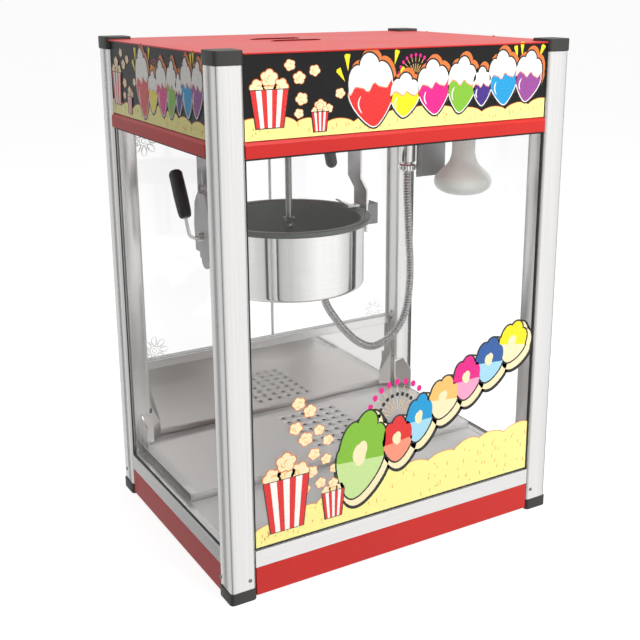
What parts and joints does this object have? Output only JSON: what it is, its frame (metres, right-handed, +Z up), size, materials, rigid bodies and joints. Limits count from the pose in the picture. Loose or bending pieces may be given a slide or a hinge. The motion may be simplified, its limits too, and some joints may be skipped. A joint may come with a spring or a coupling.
{
  "type": "popcorn machine",
  "caption": "Counter-top popcorn machine: glazed cabinet with a tilting stirred kettle, warming lamp, rear doors, crumb drawer and printed header.",
  "frame": {"origin": "middle of the footprint, on the surface the feet stand on", "axes": "+Z up, -Y towards the front glass that customers face, +Y towards the operator's doors, +X to the right seen from the front"},
  "size_m": [0.56, 0.42, 0.74],
  "materials": {
    "aluminium": "satin anodised extrusion",
    "black_plastic": "fine-grained moulded plastic",
    "red_paint": "semi-gloss red powder coat",
    "stainless": "brushed stainless sheet",
    "clear_glass": "clear tempered glass",
    "door_acrylic": "clear acrylic with etched corner rosettes",
    "sign_print": "back-printed acrylic",
    "rocker_plastic": "glossy moulded switch rocker",
    "cast_alloy": "cast, slightly rough",
    "polished_steel": "mirror polished stainless",
    "dark_coating": "dark non-stick coating",
    "conduit_steel": "corrugated flexible steel",
    "lamp_glass": "frosted reflector bulb",
    "lamp_ceramic": "glazed lamp socket",
    "grey_sheet": "plain bent sheet"
  },
  "bodies": {
    "root": {"post_front_left": "aluminium", "cap_front_left": "black_plastic", "foot_front_left": "black_plastic", "post_front_right": "aluminium", "cap_front_right": "black_plastic", "foot_front_right": "black_plastic", "post_rear_left": "aluminium", "cap_rear_left": "black_plastic", "foot_rear_left": "black_plastic", "post_rear_right": "aluminium", "cap_rear_right": "black_plastic", "foot_rear_right": "black_plastic", "base_box": "red_paint", "rail_front": "aluminium", "rail_rear": "aluminium", "rail_left": "aluminium", "rail_right": "aluminium", "base_pan": "stainless", "deck": "stainless", "rear_guard": "stainless", "door_sill": "aluminium", "glass_front": "clear_glass", "glass_left": "clear_glass", "glass_right": "clear_glass", "header_tray": "red_paint", "sign_front": "sign_print", "sign_left": "sign_print", "sign_right": "sign_print", "rear_panel": "red_paint", "top_panel": "red_paint", "cord_inlet": "black_plastic", "drive_motor": "cast_alloy", "hanger_left": "stainless", "hanger_right": "stainless", "pivot_block": "cast_alloy", "conduit_socket": "polished_steel", "conduit": "conduit_steel", "lamp_bulb": "lamp_glass", "lamp_holder": "lamp_ceramic", "lamp_shield": "grey_sheet"},
    "kettle": {"kettle_shell": "polished_steel", "kettle_bowl": "dark_coating", "kettle_heater": "cast_alloy", "pivot_pin_left": "stainless", "pivot_pin_right": "stainless", "rim_lug": "stainless", "handle_grip": "black_plastic", "kettle_gland": "stainless"},
    "agitator": {"agitator": "stainless"},
    "lift_carrier": {"lift_carrier": "stainless"},
    "drive_shaft": {"drive_shaft": "stainless"},
    "lift_lever": {"lift_lever": "black_plastic"},
    "door_left": {"door_left": "door_acrylic", "door_pull_left": "stainless"},
    "door_right": {"door_right": "door_acrylic", "door_pull_right": "stainless"},
    "crumb_drawer": {"crumb_drawer": "stainless"},
    "rocker_1": {"rocker_1": "rocker_plastic"},
    "rocker_2": {"rocker_2": "rocker_plastic"},
    "rocker_3": {"rocker_3": "rocker_plastic"}
  },
  "joints": [
    {"name": "kettle_tilt", "type": "hinge", "parent": "root", "child": "kettle", "pos_m": [-0.089, -0.034, 0.474], "axis": [-1, 0, 0], "range_deg": [0, 75], "deforming": ["conduit"]},
    {"name": "lift_lever", "type": "hinge", "parent": "root", "child": "lift_lever", "pos_m": [-0.05, 0.04, 0.624], "axis": [-1, 0, 0], "range_deg": [0, 10]},
    {"name": "shaft_lift", "type": "slide", "parent": "root", "child": "lift_carrier", "axis": [0, 0, 1], "range_m": [0, 0.012]},
    {"name": "drive_spin", "type": "hinge", "parent": "lift_carrier", "child": "drive_shaft", "pos_m": [-0.089, -0.034, 0.474], "axis": [0, 0, 1], "continuous": true},
    {"name": "agitator_spin", "type": "hinge", "parent": "kettle", "child": "agitator", "pos_m": [-0.089, -0.034, 0.474], "axis": [0, 0, 1], "continuous": true},
    {"name": "door_left_swing", "type": "hinge", "parent": "root", "child": "door_left", "pos_m": [-0.236, 0.1995, 0.4], "axis": [0, 0, 1], "range_deg": [0, 95]},
    {"name": "door_right_swing", "type": "hinge", "parent": "root", "child": "door_right", "pos_m": [0.236, 0.1995, 0.4], "axis": [0, 0, -1], "range_deg": [0, 95]},
    {"name": "drawer_slide", "type": "slide", "parent": "root", "child": "crumb_drawer", "axis": [0, 1, 0], "range_m": [0, 0.15]},
    {"name": "rocker_1_tip", "type": "hinge", "parent": "root", "child": "rocker_1", "pos_m": [0.11, 0.2025, 0.684], "axis": [-1, 0, 0], "range_deg": [0, 11]},
    {"name": "rocker_2_tip", "type": "hinge", "parent": "root", "child": "rocker_2", "pos_m": [0.15, 0.2025, 0.684], "axis": [-1, 0, 0], "range_deg": [0, 11]},
    {"name": "rocker_3_tip", "type": "hinge", "parent": "root", "child": "rocker_3", "pos_m": [0.19, 0.2025, 0.684], "axis": [-1, 0, 0], "range_deg": [0, 11]}
  ],
  "couplings": [
    {"joint": "shaft_lift", "follows": "lift_lever", "m_per_rad": 0.0687},
    {"joint": "agitator_spin", "follows": "drive_spin", "ratio": 1}
  ]
}
